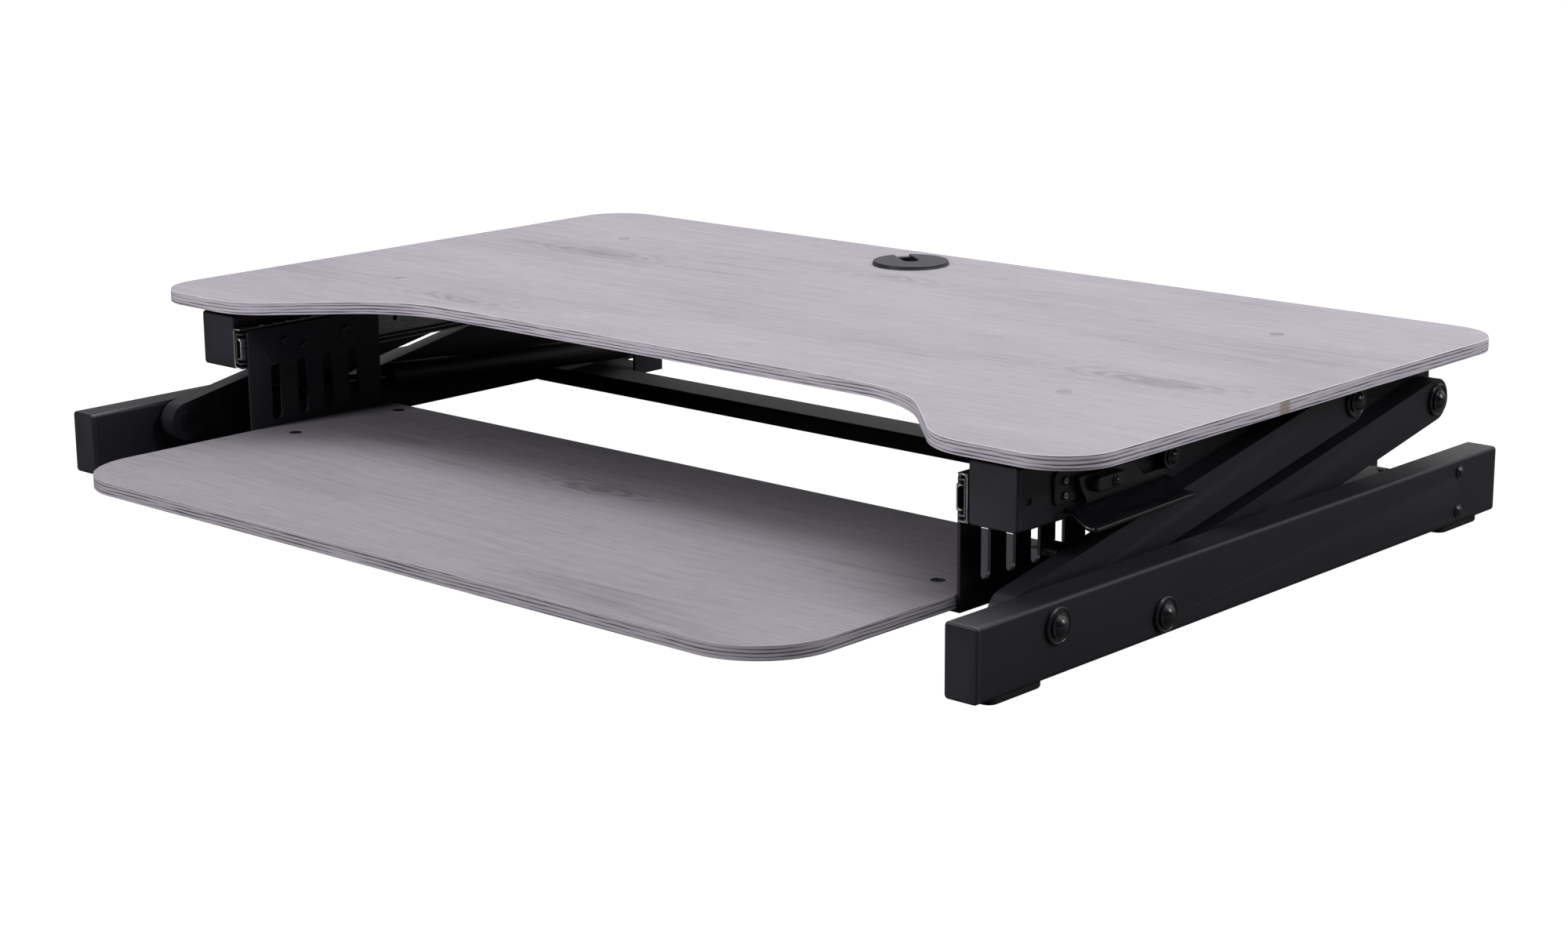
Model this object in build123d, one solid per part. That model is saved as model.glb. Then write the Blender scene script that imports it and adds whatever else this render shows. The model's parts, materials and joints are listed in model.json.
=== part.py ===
from build123d import *
import os
from math import cos, sin, pi, radians, hypot

# Standing desk converter: a desktop and a keyboard tray carried on a pair of
# parallelogram arm sets that fold flat onto a two-rail base.
# Millimetres. +X to the user's right, +Y away from the user, +Z up.
# Origin: centre of the folded converter's footprint, on the surface it rests on.

os.makedirs("parts", exist_ok=True)

GAP = 0.05                 # assembly clearance between touching pieces
RUN = 0.05                 # radial running clearance in the pivots

# --- desktop ---
DESK_W = 950.0
DESK_FRONT = -191.0        # front edge of the two horns
DESK_REAR = 357.0
DESK_TOP = 143.9
DESK_T = 9.9
DESK_CORNER_R = 44.0
CUT_DEPTH = 97.5           # how far the user cut-out reaches in
CUT_FLAT_HALF = 262.5      # corner of the straight back edge and the 45 degree flank
CUT_INNER_R = 120.0
HORN_R = 60.0

# --- top side tubes and cross straps ---
TOP_X_IN = 381.0
TOP_X_OUT = 421.3
TOP_Z = 85.5
TOP_H = 44.2
TOP_FRONT = -178.5
TOP_REAR = 334.0
WALL = 1.5
STRAP_W = 40.0
STRAP_T = 4.0
STRAP_Y = (-29.0, 237.0)   # strap centrelines, on the desktop screw rows
SCREW_X = 346.0
WOOD_SCREW_R = 1.8
INSERT_R = 7.5             # threaded inserts of the upper pivots
INSERT_X = 400.0           # their inner end
SNAP_Y = (-170.0, -164.0)  # snap window of the front end cap
SNAP_Z = (103.0, 107.0)

# --- base ---
BASE_X_IN = 441.5
BASE_X_OUT = 467.5
BASE_FRONT = -277.5
BASE_REAR = 358.5
FOOT_T = 5.0
BASE_H = 50.0
CAP_T = 5.0                # plastic end cap flange
CAP_PLUG = 18.0
CROSSBAR_FRONT = 213.0
CROSSBAR_D = 40.0
CROSSBAR_H = 15.0
FOOT_Y = (-233.0, 312.0)
FOOT_SIZE = (22.0, 56.0)

# --- arms ---
ARM_L = 400.0
ARM_REST = 10.8            # rise of the folded arms, degrees
ARM_W = 32.0
ARM_T = 16.0
ARM_X_IN = 423.3
ARM_WALL = 2.0
BOSS_R = 12.0
BUSH_R = 7.0
PIN_R = 5.0
P1_Y, P1_Z = -196.5, 38.7  # front arm's lower pivot
P2_Y, P2_Z = -79.0, 19.7   # rear arm's lower pivot
WASHER_R = 12.5
WASHER_T = 1.8
HEAD_R = 8.5               # flange of the domed pivot bolt heads
HEAD_H = 5.6
PEEN_R = 9.0               # flush peened end of the lower pivot bolts
PEEN_T = 1.5
CAVITY_END = 22.0          # where the hollow of an arm starts, from each pivot
VENT_R = 2.0

# --- keyboard tray ---
TRAY_HALF_W = 368.0
TRAY_FRONT = -358.5
TRAY_REAR = -28.5
TRAY_TOP = 35.2
TRAY_T = 9.9
TRAY_CORNER_R = 60.0
TRAY_REAR_R = 5.0
TRAY_BOLT_X = 337.0
TRAY_BOLT_Y = (-154.0, -44.0)
TRAY_BOLT_R = 2.5
TRAY_HEAD_R = 5.5
TRAY_HEAD_T = 2.4
TRAY_NUT_T = 4.0

# --- tray bracket and ball-bearing slide ---
BRACKET_T = 2.5
BRACKET_X_OUT = 371.0
BRACKET_FRONT = -173.5
BRACKET_REAR = -36.0
BRACKET_TOP = 117.2
BRACKET_FLANGE = 46.0
SLOT_COUNT = 4
SLOT_PITCH = 27.1
SLOT_W = 10.3
SLOT_Z = (40.0, 88.0)
BRACKET_SCREWS = ((-136.0, 105.0), (-117.0, 98.0), (-72.0, 105.0))
BRACKET_SCREW_SHANK_R = 2.0
SLIDE_L = 300.0
SLIDE_INNER_L = 208.0
SLIDE_Z = 102.7
SLIDE_H = 33.0
SLIDE_T = 1.2
SLIDE_DEPTH = 9.6
BALL_R = 1.25
BALL_GAP = 2.6
BALL_PITCH = 17.0
BALL_COUNT = 8
RETAINER_HALF_W = 1.9
RETAINER_HALF_T = 0.3
SLIDE_SCREW_Y = (-150.0, -30.0, 90.0)
SLIDE_SCREW_R = 2.0
SLIDE_HOLE = (-15.3, 105.4)  # spare fixing hole near the rear of the inner member
SLIDE_HOLE_R = 2.3

# --- gas springs ---
GAS_X = 400.0
GAS_Y, GAS_Z = 303.0, 30.0   # rear anchor on the base
GAS_ARM_R = 90.0             # distance of the front anchor from the front arm's lower pivot
CYL_R = 11.0
CYL_L = 290.0
ROD_R = 5.0
EYE_R = 8.0
EYE_T = 12.0
GAS_NECK = 16.0              # from the rear eye's centre to the pressure tube
GAS_WALL = 1.6
GAS_PIN_R = 4.0
GAS_PISTON = 130.0           # folded piston position, back from the front gland
GAS_EAR_X = GAS_X - CYL_R - 5    # inner ear of the rear bracket
GAS_EAR_T = 3.0
GAS_BRACKET_HALF = 18.0
GAS_BRACKET_TOP = 50.0
BRACKET_SCREW_R = 2.5
BRACKET_SCREW_Z = (15.0, 45.0)
BUTTON_R = 4.9
BUTTON_H = 3.0

# --- release handles ---
HANDLE_PIVOT_Y, HANDLE_PIVOT_Z = -22.0, 110.7
HANDLE_EYE_R = 9.0
HANDLE_EYE_T = 8.0
HANDLE_PIN_R = 3.0
PLATE_T = 2.0                # bracket plate on the side tube
PLATE_Y = (-142.0, -10.0)
PLATE_Z = (98.0, 120.0)
RIVET_Y = -131.5
RIVET_Z = (103.0, 113.0)
PADDLE_FRONT = -134.0
PADDLE_REAR = -25.0
PADDLE_X_IN = 425.4
PADDLE_X_OUT = 451.0
PADDLE_T = 3.4
PADDLE_Z_IN = 95.6           # top of the paddle beside the tube, at its front end
PADDLE_Z_OUT = 86.8          # top of its outer lip
PADDLE_BEND = (429.0, 447.0)   # between these the paddle sweeps down in an S
PADDLE_RISE = 1.6            # slope towards the rear, degrees
WEB_T = 2.8
ANCHOR_Y = (-110.0, -76.0)   # cable anchor on the lever's web
ANCHOR_Z = (101.5, 112.5)
ANCHOR_T = 6.0
ANCHOR_SCREW_Y = -90.0
ANCHOR_SCREW_R = 1.5
RIVET_R = 1.5

# --- cable grommet ---
GROMMET_X, GROMMET_Y = -65.0, 302.0
GROMMET_HOLE_R = 30.0
GROMMET_FLANGE_R = 33.0
GROMMET_FLANGE_T = 1.4
GROMMET_CAP_T = 2.0
GROMMET_SLOT_R = 7.0
GROMMET_SLOT_TURN = 35.0     # direction of the keyhole slot

FRAME_Z = DESK_TOP - DESK_T          # underside of the desktop
ARM_X_OUT = ARM_X_IN + ARM_T
ARM_X_MID = (ARM_X_IN + ARM_X_OUT) / 2
TOP_X_MID = (TOP_X_IN + TOP_X_OUT) / 2
BASE_X_MID = (BASE_X_IN + BASE_X_OUT) / 2
ARM_DY = ARM_L * cos(radians(ARM_REST))
ARM_DZ = ARM_L * sin(radians(ARM_REST))
Q1_Y, Q1_Z = P1_Y + ARM_DY, P1_Z + ARM_DZ
Q2_Y, Q2_Z = P2_Y + ARM_DY, P2_Z + ARM_DZ
PEEN_END_X = ARM_X_IN + PEEN_T + 3 * GAP      # depth of the counterbore for the peened end
GAS_FY = P1_Y + GAS_ARM_R * cos(radians(ARM_REST))
GAS_FZ = P1_Z + GAS_ARM_R * sin(radians(ARM_REST))
GAS_LENGTH = hypot(GAS_FY - GAS_Y, GAS_FZ - GAS_Z)
SLIDE_X_IN = TOP_X_IN - GAP - SLIDE_DEPTH
OUTER_HALF = SLIDE_H / 2
MIDDLE_HALF = OUTER_HALF - SLIDE_T - BALL_GAP
INNER_HALF = MIDDLE_HALF - SLIDE_T - BALL_GAP
LEVER_X = TOP_X_OUT + PLATE_T + 4 * GAP    # inner side of the lever's eye
WEB_X = PADDLE_X_IN + WEB_T                # outer side of the lever's web


# ---------- helpers ----------
def block(x0, x1, y0, y1, z0, z1):
    """Box between two corners."""
    return Pos((x0 + x1) / 2, (y0 + y1) / 2, (z0 + z1) / 2) * Box(x1 - x0, y1 - y0, z1 - z0)


def x_rod(radius, x0, x1, y, z):
    """Cylinder along X."""
    return Pos((x0 + x1) / 2, y, z) * Rot(0, 90, 0) * Cylinder(radius, x1 - x0)


def x_ring(outer, inner, x0, x1, y, z):
    """Washer or bush along X."""
    return x_rod(outer, x0, x1, y, z) - x_rod(inner, x0 - 1, x1 + 1, y, z)


def z_rod(radius, x, y, z0, z1):
    """Cylinder along Z."""
    return Pos(x, y, (z0 + z1) / 2) * Cylinder(radius, z1 - z0)


def along_y(sketch, x, z, y0, y1):
    """Extrude an XZ section from y0 to y1."""
    plane = Plane(origin=(x, y0, z), x_dir=(1, 0, 0), z_dir=(0, 1, 0))
    return extrude(plane * sketch, amount=y1 - y0)


def along_x(sketch, x0, x1):
    """Extrude a sketch drawn in Y and Z from x0 to x1."""
    plane = Plane(origin=(x0, 0, 0), x_dir=(0, 1, 0), z_dir=(1, 0, 0))
    return extrude(plane * sketch, amount=x1 - x0)


def tube_y(width, height, corner, x, z, y0, y1):
    """Rectangular tube along Y with rounded corners."""
    inner = RectangleRounded(width - 2 * WALL, height - 2 * WALL, max(corner - WALL, 0.6))
    return along_y(RectangleRounded(width, height, corner) - inner, x, z, y0, y1)


def mirrored(shape):
    """The matching left-hand piece."""
    return mirror(shape, about=Plane.YZ)


def group(shapes):
    """Several separate solids in one node."""
    solids = [solid for shape in shapes for solid in shape.solids()]
    return Compound(children=solids)


def both_sides(shapes):
    """Right-hand pieces and their left-hand copies in one node."""
    return group(shapes + [mirrored(shape) for shape in shapes])


def save(name, shape):
    export_step(shape, "parts/" + name + ".step")


def save_pair(name, shape):
    """A right-hand piece and its left-hand copy as two nodes."""
    save(name + "_right", shape)
    save(name + "_left", mirrored(shape))


# ---------- base ----------
def base_tube():
    tube = tube_y(BASE_X_OUT - BASE_X_IN, BASE_H, 3.0, BASE_X_MID, FOOT_T + BASE_H / 2,
                  BASE_FRONT + CAP_T, BASE_REAR - CAP_T)
    for y, z in ((P1_Y, P1_Z), (P2_Y, P2_Z)):
        tube -= x_rod(PIN_R + RUN, BASE_X_IN - 1, BASE_X_OUT + 1, y, z)
    for z in BRACKET_SCREW_Z:
        tube -= x_rod(BRACKET_SCREW_R + GAP, BASE_X_IN - 1, BASE_X_OUT + 1, GAS_Y, z)
    return tube


def end_cap(width, height, x, z, y_outer, y_inner, corner=3.0):
    """Plastic plug: a flange as large as the tube and a hollow spigot inside it."""
    inward = 1 if y_inner > y_outer else -1
    flange = along_y(RectangleRounded(width, height, corner), x, z,
                     min(y_outer, y_inner), max(y_outer, y_inner))
    front = flange.faces().sort_by(Axis.Y)[0 if inward == 1 else -1]
    flange = fillet(front.edges(), 1.8)
    spigot_w = width - 2 * WALL - 2 * GAP
    spigot_h = height - 2 * WALL - 2 * GAP
    spigot = RectangleRounded(spigot_w, spigot_h, 1.6)
    spigot -= RectangleRounded(spigot_w - 4, spigot_h - 4, 1.0)
    y_end = y_inner + inward * CAP_PLUG
    return flange + along_y(spigot, x, z, min(y_inner, y_end), max(y_inner, y_end))


def base_end_caps():
    width = BASE_X_OUT - BASE_X_IN
    z = FOOT_T + BASE_H / 2
    front = end_cap(width, BASE_H, BASE_X_MID, z, BASE_FRONT, BASE_FRONT + CAP_T - GAP)
    rear = end_cap(width, BASE_H, BASE_X_MID, z, BASE_REAR, BASE_REAR - CAP_T + GAP)
    return both_sides([front, rear])


def rear_crossbar():
    half = BASE_X_IN - GAP
    outer = RectangleRounded(CROSSBAR_D, CROSSBAR_H, 2.5)
    inner = RectangleRounded(CROSSBAR_D - 2 * WALL, CROSSBAR_H - 2 * WALL, 1.0)
    plane = Plane(origin=(-half, CROSSBAR_FRONT + CROSSBAR_D / 2, FOOT_T + CROSSBAR_H / 2),
                  x_dir=(0, 1, 0), z_dir=(1, 0, 0))
    return extrude(plane * (outer - inner), amount=2 * half)


def rubber_feet():
    feet = []
    for y in FOOT_Y:
        pad = Pos(BASE_X_MID, y, 0) * RectangleRounded(*FOOT_SIZE, 8)
        foot = extrude(pad, amount=FOOT_T - GAP)
        feet.append(chamfer(foot.faces().sort_by(Axis.Z)[0].edges(), 1.2))
    return both_sides(feet)


def domed_head(x0, height, radius, y, z):
    """Smooth mushroom head on a thin flange, with its flat side at x0."""
    flange_t = 0.3 * height
    dome_r = 0.85 * radius
    dome_h = height - flange_t
    ball_r = (dome_r ** 2 + dome_h ** 2) / (2 * dome_h)
    ball = Pos(x0 + height - ball_r, y, z) * Rot(0, 90, 0) * Sphere(ball_r)
    dome = ball & x_rod(radius, x0 + flange_t, x0 + height + 1, y, z)
    return x_rod(radius, x0, x0 + flange_t, y, z) + dome


def base_pivot_bolts():
    """Domed outside the rail, peened flush with the inner face of the arm."""
    bolts = []
    end_x = ARM_X_IN + 2 * GAP
    for y, z in ((P1_Y, P1_Z), (P2_Y, P2_Z)):
        head_x = BASE_X_OUT + 2 * GAP + WASHER_T
        shank = x_rod(PIN_R, end_x, head_x, y, z)
        peen = x_rod(PEEN_R, end_x, end_x + PEEN_T, y, z)
        bolts.append(domed_head(head_x, HEAD_H, HEAD_R, y, z) + shank + peen)
    return both_sides(bolts)


def base_pivot_washers():
    """One under each bolt head and one between the rail and the arm."""
    rings = []
    for y, z in ((P1_Y, P1_Z), (P2_Y, P2_Z)):
        rings.append(x_ring(WASHER_R, PIN_R + RUN, BASE_X_OUT + GAP, BASE_X_OUT + GAP + WASHER_T, y, z))
        rings.append(x_ring(WASHER_R, PIN_R + RUN, ARM_X_OUT + GAP, BASE_X_IN - GAP, y, z))
    return both_sides(rings)


# ---------- arms ----------
def arm_outline(width):
    """Stadium lying from (0, 0) to (ARM_L, 0), at the rest angle."""
    slot = Pos(ARM_L / 2, 0) * SlotOverall(ARM_L + width, width)
    return Rot(0, 0, ARM_REST) * slot


def arm(y, z, anchor=None):
    """Hollow closed bar with round ends, solid round each pivot, with a vent hole underneath."""
    body = along_x(Pos(y, z) * arm_outline(ARM_W), ARM_X_IN, ARM_X_OUT)
    hollow_l = ARM_L - 2 * CAVITY_END
    hollow = Rot(0, 0, ARM_REST) * Pos(ARM_L / 2, 0) * Rectangle(hollow_l, ARM_W - 2 * ARM_WALL)
    cavity = along_x(Pos(y, z) * hollow, ARM_X_IN + ARM_WALL, ARM_X_OUT - ARM_WALL)
    if anchor:
        cavity -= x_rod(BOSS_R, ARM_X_IN, ARM_X_OUT, *anchor)
    vent = z_rod(VENT_R, ARM_X_MID, y + ARM_DY / 2, z + ARM_DZ / 2 - ARM_W, z + ARM_DZ / 2)
    body = body - cavity - vent
    for end_y, end_z in ((y, z), (y + ARM_DY, z + ARM_DZ)):
        body -= x_rod(BUSH_R + GAP, ARM_X_IN - 1, ARM_X_OUT + 1, end_y, end_z)
    return body - x_rod(PEEN_R + GAP, ARM_X_IN - 1, PEEN_END_X, y, z)


def arm_bushes(y, z):
    """Plastic bushes that line the two pivots of one arm."""
    return group([x_ring(BUSH_R, PIN_R + RUN, PEEN_END_X + GAP, ARM_X_OUT, y, z),
                  x_ring(BUSH_R, PIN_R + RUN, ARM_X_IN, ARM_X_OUT, y + ARM_DY, z + ARM_DZ)])


# ---------- top frame ----------
def top_tube():
    tube = tube_y(TOP_X_OUT - TOP_X_IN, TOP_H, 2.5, TOP_X_MID, TOP_Z + TOP_H / 2,
                  TOP_FRONT + CAP_T, TOP_REAR - CAP_T)
    for y, z in ((Q1_Y, Q1_Z), (Q2_Y, Q2_Z)):
        tube -= x_rod(INSERT_R + GAP, TOP_X_OUT - WALL - 1, TOP_X_OUT + 1, y, z)
    for y in SLIDE_SCREW_Y:
        tube -= x_rod(SLIDE_SCREW_R + GAP, TOP_X_IN - 1, TOP_X_IN + WALL + 1, y, SLIDE_Z)
    return tube - block(TOP_X_OUT - WALL - 1, TOP_X_OUT + 1, *SNAP_Y, *SNAP_Z)


def top_tube_caps():
    width = TOP_X_OUT - TOP_X_IN
    z = TOP_Z + TOP_H / 2
    front = end_cap(width, TOP_H, TOP_X_MID, z, TOP_FRONT, TOP_FRONT + CAP_T - GAP)
    rear = end_cap(width, TOP_H, TOP_X_MID, z, TOP_REAR, TOP_REAR - CAP_T + GAP)
    rear -= x_rod(INSERT_R + GAP, INSERT_X - 1, TOP_X_OUT + 1, Q2_Y, Q2_Z)
    return both_sides([front, rear])


def cross_strap(y):
    """Flat steel strap across both top tubes, under the desktop."""
    strap = block(-TOP_X_OUT, TOP_X_OUT, y - STRAP_W / 2, y + STRAP_W / 2,
                  FRAME_Z - GAP - STRAP_T, FRAME_Z - GAP)
    for x in (-SCREW_X, SCREW_X):
        strap -= z_rod(2.5, x, y, FRAME_Z - 10, FRAME_Z + 1)
    return strap


def desktop_outline():
    """Rounded rectangle with a wide cut-out for the user between two horns."""
    half = DESK_W / 2
    y0, y1 = DESK_FRONT, DESK_REAR
    notch_y = y0 + CUT_DEPTH
    notch_x = CUT_FLAT_HALF + CUT_DEPTH
    points = [(-half, y0), (-notch_x, y0), (-CUT_FLAT_HALF, notch_y), (CUT_FLAT_HALF, notch_y),
              (notch_x, y0), (half, y0), (half, y1), (-half, y1)]
    outline = make_face(Polyline(*points, close=True))
    corners = outline.vertices()
    outline = fillet(corners.filter_by(lambda v: abs(v.X) > half - 1), DESK_CORNER_R)
    corners = outline.vertices()
    outline = fillet(corners.filter_by(lambda v: abs(abs(v.X) - notch_x) < 1e-3 and v.Y < y0 + 1), HORN_R)
    corners = outline.vertices()
    inner = corners.filter_by(lambda v: abs(abs(v.X) - CUT_FLAT_HALF) < 1e-3 and abs(v.Y - notch_y) < 1e-3)
    return fillet(inner, CUT_INNER_R)


def desktop():
    board = extrude(Pos(0, 0, FRAME_Z) * desktop_outline(), amount=DESK_T)
    board = board - z_rod(GROMMET_HOLE_R, GROMMET_X, GROMMET_Y, FRAME_Z - 1, DESK_TOP + 1)
    for x in (-SCREW_X, SCREW_X):
        for y in STRAP_Y:
            board -= z_rod(WOOD_SCREW_R + GAP, x, y, FRAME_Z - 1, FRAME_Z + 7.6)
    return board


def desktop_screws():
    """Pan-head wood screws driven up through the straps."""
    screws = []
    for y in STRAP_Y:
        z = FRAME_Z - STRAP_T - 2 * GAP
        head = z_rod(4.5, SCREW_X, y, z - 2.5, z)
        screws.append(head + z_rod(WOOD_SCREW_R, SCREW_X, y, z, FRAME_Z + 7.0))
    return both_sides(screws)


def top_pivot_bolts():
    bolts = []
    for y, z in ((Q1_Y, Q1_Z), (Q2_Y, Q2_Z)):
        head_x = ARM_X_OUT + 2 * GAP + 1.6
        bolts.append(domed_head(head_x, HEAD_H, HEAD_R, y, z)
                     + x_rod(PIN_R, INSERT_X + 2, head_x, y, z))
    return both_sides(bolts)


def top_pivot_washers():
    rings = []
    for y, z in ((Q1_Y, Q1_Z), (Q2_Y, Q2_Z)):
        rings.append(x_ring(WASHER_R, PIN_R + RUN, ARM_X_OUT + GAP, ARM_X_OUT + GAP + 1.6, y, z))
        rings.append(x_ring(WASHER_R, PIN_R + RUN, TOP_X_OUT + GAP, ARM_X_IN - GAP, y, z))
    return both_sides(rings)


def top_pivot_inserts():
    """Blind threaded inserts set in the outer wall of the top tubes."""
    inserts = []
    for y, z in ((Q1_Y, Q1_Z), (Q2_Y, Q2_Z)):
        shell = x_rod(INSERT_R, INSERT_X, TOP_X_OUT, y, z)
        inserts.append(shell - x_rod(PIN_R + GAP, INSERT_X + 1.5, TOP_X_OUT + 1, y, z))
    return both_sides(inserts)


# ---------- keyboard tray ----------
def keyboard_tray():
    width = 2 * TRAY_HALF_W
    depth = TRAY_REAR - TRAY_FRONT
    outline = Pos(0, (TRAY_FRONT + TRAY_REAR) / 2) * Rectangle(width, depth)
    outline = fillet(outline.vertices().filter_by(lambda v: v.Y < TRAY_FRONT + 1), TRAY_CORNER_R)
    outline = fillet(outline.vertices().filter_by(lambda v: v.Y > TRAY_REAR - 1), TRAY_REAR_R)
    tray = extrude(Pos(0, 0, TRAY_TOP - TRAY_T) * outline, amount=TRAY_T)
    for x in (-TRAY_BOLT_X, TRAY_BOLT_X):
        for y in TRAY_BOLT_Y:
            tray -= z_rod(TRAY_BOLT_R + GAP, x, y, 0, TRAY_TOP + 1)
            tray -= z_rod(TRAY_HEAD_R + GAP, x, y, TRAY_TOP - TRAY_HEAD_T - GAP, TRAY_TOP + 1)
    return tray


def tray_bolts():
    """Flat-head bolts sunk flush in the tray, with a nut under the bracket flange."""
    pieces = []
    z_low = TRAY_TOP - TRAY_T - GAP - BRACKET_T
    for y in TRAY_BOLT_Y:
        head = z_rod(TRAY_HEAD_R, TRAY_BOLT_X, y, TRAY_TOP - TRAY_HEAD_T, TRAY_TOP)
        socket = Pos(TRAY_BOLT_X, y, TRAY_TOP - 1.4) * RegularPolygon(1.6, 6, major_radius=False)
        bolt = head + z_rod(TRAY_BOLT_R, TRAY_BOLT_X, y, z_low - 4.5, TRAY_TOP - TRAY_HEAD_T)
        pieces.append(bolt - extrude(socket, amount=3))
        hexagon = RegularPolygon(4, 6, major_radius=False)
        nut_sketch = Pos(TRAY_BOLT_X, y, z_low - GAP - TRAY_NUT_T) * hexagon
        nut = extrude(nut_sketch, amount=TRAY_NUT_T)
        pieces.append(nut - z_rod(TRAY_BOLT_R + GAP, TRAY_BOLT_X, y, 0, z_low))
    return both_sides(pieces)


def tray_bracket():
    """Hanging side plate with vertical slots and a flange under the tray."""
    flange_z = TRAY_TOP - TRAY_T - GAP
    plate = block(BRACKET_X_OUT - BRACKET_T, BRACKET_X_OUT, BRACKET_FRONT, BRACKET_REAR,
                  flange_z - BRACKET_T, BRACKET_TOP)
    plate = fillet(plate.edges().filter_by(Axis.X).group_by(Axis.Z)[-1], 3.0)
    flange = block(BRACKET_X_OUT - BRACKET_FLANGE, BRACKET_X_OUT, BRACKET_FRONT, BRACKET_REAR,
                   flange_z - BRACKET_T, flange_z)
    bracket = plate + flange
    slot_mid = (SLOT_Z[0] + SLOT_Z[1]) / 2
    slot_len = SLOT_Z[1] - SLOT_Z[0]
    for index in range(SLOT_COUNT):
        y = BRACKET_FRONT + SLOT_PITCH * (index + 1)
        slot = Pos(y, slot_mid) * Rot(0, 0, 90) * SlotOverall(slot_len, SLOT_W)
        bracket -= along_x(slot, BRACKET_X_OUT - BRACKET_T - 1, BRACKET_X_OUT + 1)
    for y, z in BRACKET_SCREWS:
        bracket -= x_rod(BRACKET_SCREW_SHANK_R + GAP, BRACKET_X_OUT - BRACKET_T - 1,
                         BRACKET_X_OUT + 1, y, z)
    for y in TRAY_BOLT_Y:
        bracket -= z_rod(TRAY_BOLT_R + GAP, TRAY_BOLT_X, y, 0, TRAY_TOP)
    return bracket


def tray_bracket_screws():
    """Low-head screws that fix the brackets to the inner slide members."""
    screws = []
    x = BRACKET_X_OUT - BRACKET_T - GAP
    for y, z in BRACKET_SCREWS:
        head = x_rod(3.6, x - 2.0, x, y, z)
        head = fillet(head.faces().sort_by(Axis.X)[0].edges(), 1.2)
        screws.append(head + x_rod(BRACKET_SCREW_SHANK_R, x, SLIDE_X_IN + SLIDE_T + 1.0, y, z))
    return both_sides(screws)


# ---------- ball-bearing slide ----------
def channel(half_height, x_web, x_lip, length=SLIDE_L):
    """Slide member section: a web at x_web and two flanges that reach to x_lip."""
    outer = block(min(x_web, x_lip), max(x_web, x_lip), TOP_FRONT, TOP_FRONT + length,
                  SLIDE_Z - half_height, SLIDE_Z + half_height)
    step = SLIDE_T if x_lip > x_web else -SLIDE_T
    far = x_lip + (1 if x_lip > x_web else -1)
    inner = block(min(x_web + step, far), max(x_web + step, far), TOP_FRONT - 1,
                  TOP_FRONT + length + 1, SLIDE_Z - half_height + SLIDE_T,
                  SLIDE_Z + half_height - SLIDE_T)
    return outer - inner


def slide_outer():
    member = channel(OUTER_HALF, TOP_X_IN - GAP, SLIDE_X_IN + 1.0)
    for y in SLIDE_SCREW_Y:
        member -= x_rod(SLIDE_SCREW_R + GAP, SLIDE_X_IN, TOP_X_IN + 1, y, SLIDE_Z)
    return member


def slide_middle():
    return channel(MIDDLE_HALF, TOP_X_IN - GAP - SLIDE_T - 1.0, SLIDE_X_IN + 0.8)


def slide_inner():
    member = channel(INNER_HALF, SLIDE_X_IN, SLIDE_X_IN + SLIDE_DEPTH - 4.4, SLIDE_INNER_L)
    for y, z in BRACKET_SCREWS:
        member -= x_rod(BRACKET_SCREW_SHANK_R + GAP, SLIDE_X_IN - 1, SLIDE_X_IN + SLIDE_T + 0.5, y, z)
    return member - x_rod(SLIDE_HOLE_R, SLIDE_X_IN - 1, SLIDE_X_IN + SLIDE_T + 0.5, *SLIDE_HOLE)


def slide_balls():
    """Ball rows and the retainer strips that space them, above and below each gap."""
    pieces = []
    x = SLIDE_X_IN + 3.4
    for half in (OUTER_HALF, MIDDLE_HALF):
        for side in (-1, 1):
            z = SLIDE_Z + side * (half - SLIDE_T - BALL_GAP / 2)
            y_first = TOP_FRONT + 12.0
            y_last = y_first + BALL_PITCH * (BALL_COUNT - 1)
            strip = block(x - RETAINER_HALF_W, x + RETAINER_HALF_W, y_first - 5, y_last + 5,
                          z - RETAINER_HALF_T, z + RETAINER_HALF_T)
            for index in range(BALL_COUNT):
                y = y_first + BALL_PITCH * index
                strip -= z_rod(BALL_R + GAP, x, y, z - 2, z + 2)
                pieces.append(Pos(x, y, z) * Sphere(BALL_R))
            pieces.append(strip)
    return group(pieces)


def slide_screws():
    """Screws that fix the outer slide members to the top tubes."""
    screws = []
    x = TOP_X_IN - GAP - SLIDE_T - GAP
    for y in SLIDE_SCREW_Y:
        head = x_rod(1.7 * SLIDE_SCREW_R, x - 0.8, x, y, SLIDE_Z)
        screws.append(head + x_rod(SLIDE_SCREW_R, x, TOP_X_IN + 6, y, SLIDE_Z))
    return both_sides(screws)


# ---------- gas springs ----------
def gas_frame(distance):
    """Location on the spring's axis, measured from the rear anchor; local +Z runs forward."""
    length = hypot(GAS_FY - GAS_Y, GAS_FZ - GAS_Z)
    dy = (GAS_FY - GAS_Y) / length
    dz = (GAS_FZ - GAS_Z) / length
    origin = (GAS_X, GAS_Y + dy * distance, GAS_Z + dz * distance)
    return Plane(origin=origin, x_dir=(1, 0, 0), z_dir=(0, dy, dz))


def gas_tube(radius, start, end):
    return extrude(gas_frame(start) * Circle(radius), amount=end - start)


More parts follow.
